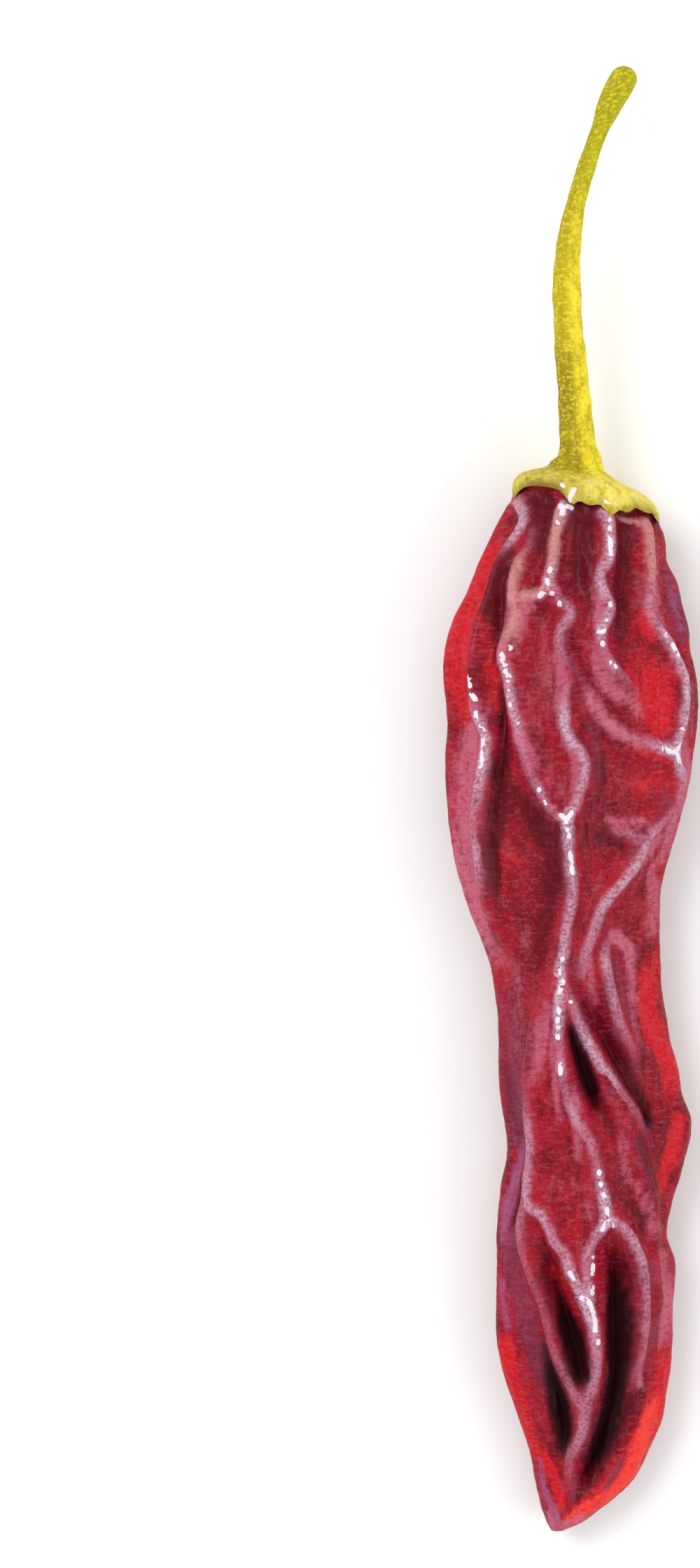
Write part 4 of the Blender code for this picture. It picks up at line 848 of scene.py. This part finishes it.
stalk_material, tree, shader = new_material("stalk_skin")
spot = read(tree, "grain", "Vector")
fibres = noise_of(spot, (1, 0.1, 1), 1.6, 5, 0.65)
blotches = noise_of(spot, (1, 0.6, 1), 0.9, 6, 0.65)
pores = noise_of(spot, (1, 1, 1), 2.6, 2)
speckled = noise_of(spot, (1, 1.3, 1), 2.0, 5, 0.75)
left, down_calyx = read(tree, "left_side"), read(tree, "down_calyx")
# Painted light: the right side is painted lighter, lemon, than the gold left side.
layer = paint(GOLD, LEMON, times(span(blotches, 0.38, 0.6, 0.3, 1), span(left, 0.2, 0.75, 1, 0)))
# Pale straw down the calyx, partly a painted highlight.
layer = paint(layer, STRAW, times(span(down_calyx, 0.05, 0.6), span(blotches, 0.42, 0.6, 0.35, 0.85)))
layer = paint(layer, GREENISH, span(read(tree, "towards_end"), 0.1, 1.0, 0, 0.9))
# Painted shade: an olive stripe runs down the left side; the fibres, blotches and specks are olive too.
left_shade = times(
    span(left, 0.35, 0.65), span(read(tree, "towards_foot"), 0, 1, 0.25, 0.95),
    span(fibres, 0.34, 0.52, 0.35, 1))
layer = paint(layer, OLIVE, times(left_shade, span(down_calyx, 0, 0.4, 1, 0.4)))
for colour, grain, low, high, most in (
    (OLIVE, fibres, 0.54, 0.72, 0.45), (OLIVE, blotches, 0.5, 0.3, 0.4),
    (OLIVE, speckled, 0.5, 0.3, 0.65), (LEMON, speckled, 0.5, 0.62, 0.65),
):
    layer = paint(layer, colour, span(grain, low, high, 0, most))
# Painted shade: the rim is darkened brown between the lobes, where it arches over the hollows,
# and olive all along its edge.
layer = paint(layer, BARK, times(
    span(down_calyx, 0.62, 1.0, 0, 0.85), read(tree, "between_lobes"),
    span(blotches, 0.3, 0.6, 0.7, 1)))
layer = paint(layer, OLIVE, times(span(down_calyx, 0.84, 1.0, 0, 0.8), span(blotches, 0.3, 0.6, 1, 0.5)))
layer = paint(layer, BARK, span(pores, 0.76, 0.82, 0, 0.7))
glint_mask = roughened(read(tree, "painted_glint"), speckled, 0.5)
layer = paint(layer, GLINT_WHITE, span(glint_mask, 0.45, 0.6, 0, 0.95))
tree.links.new(layer, shader.inputs["Base Color"])
tree.links.new(span(fibres, 0.3, 0.7, 0.5, 0.68), shader.inputs["Roughness"])
shader.inputs["Specular IOR Level"].default_value = 0.12
add_bump(shader, combine("ADD", fibres, times(blotches, 0.8)), 0.6, 0.14)
stalk.data.materials.append(stalk_material)
stalk.data.transform(Matrix.Translation(shift))
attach(stalk, "root")
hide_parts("stalk")

# The table is a plain pale sheet, far larger than the chilli, with a smooth matt finish like
# that of paper.
bpy.ops.mesh.primitive_plane_add(size=4)
table = bpy.context.object
table.name = "table"
table_material, tree, shader = new_material("pale_table")
shader.inputs["Base Color"].default_value = (0.90, 0.90, 0.895, 1)
shader.inputs["Roughness"].default_value = 0.75
table.data.materials.append(table_material)

# Soft studio light: a large key from the upper left, a weak fill from the right, and an even
# white surround. Each softbox has its place in metres, its size and its watts.
SOFTBOXES = (
    ("key", (-0.54, 0.38, 0.90), 0.55, 5.4),
    ("fill", (0.80, -0.20, 0.70), 0.60, 2.8),
)
for name, location, size, watts in SOFTBOXES:
    bpy.ops.object.light_add(type="AREA", location=location)
    lamp = bpy.context.object
    lamp.name = name
    lamp.data.size = size
    lamp.data.energy = watts
    lamp.rotation_euler = (-Vector(location)).to_track_quat("-Z", "Y").to_euler()
world = bpy.data.worlds.new("studio")
world.use_nodes = True
world.node_tree.nodes["Background"].inputs["Color"].default_value = (1, 1, 1, 1)
world.node_tree.nodes["Background"].inputs["Strength"].default_value = 0.86
bpy.context.scene.world = world
bpy.context.scene.view_settings.view_transform = "Standard"

# The camera looks straight down. The chilli keeps its place in the picture, on the right of a
# frame whose height takes in 179.3 mm at the height of the pod's outline.
PICTURE_WIDTH, PICTURE_HEIGHT = 1000, 2241
PIXEL = 0.08
MIDDLE_COLUMN, MIDDLE_ROW = 815.5, 1142  # the pixel that shows the chilli's middle
LENS, SENSOR = 100.0, 36.0
OUTLINE_HEIGHT = 8.0
view_height = PICTURE_HEIGHT * PIXEL
bpy.ops.object.camera_add()
camera = bpy.context.object
camera.data.lens = LENS
camera.data.sensor_fit = "VERTICAL"
camera.data.sensor_height = SENSOR
camera.location = (
    (PICTURE_WIDTH / 2 - MIDDLE_COLUMN) * PIXEL * MM + shift.x,
    (MIDDLE_ROW - PICTURE_HEIGHT / 2) * PIXEL * MM + shift.y,
    (OUTLINE_HEIGHT + view_height * LENS / SENSOR) * MM,
)
camera.rotation_euler = (0, 0, 0)
bpy.context.scene.camera = camera
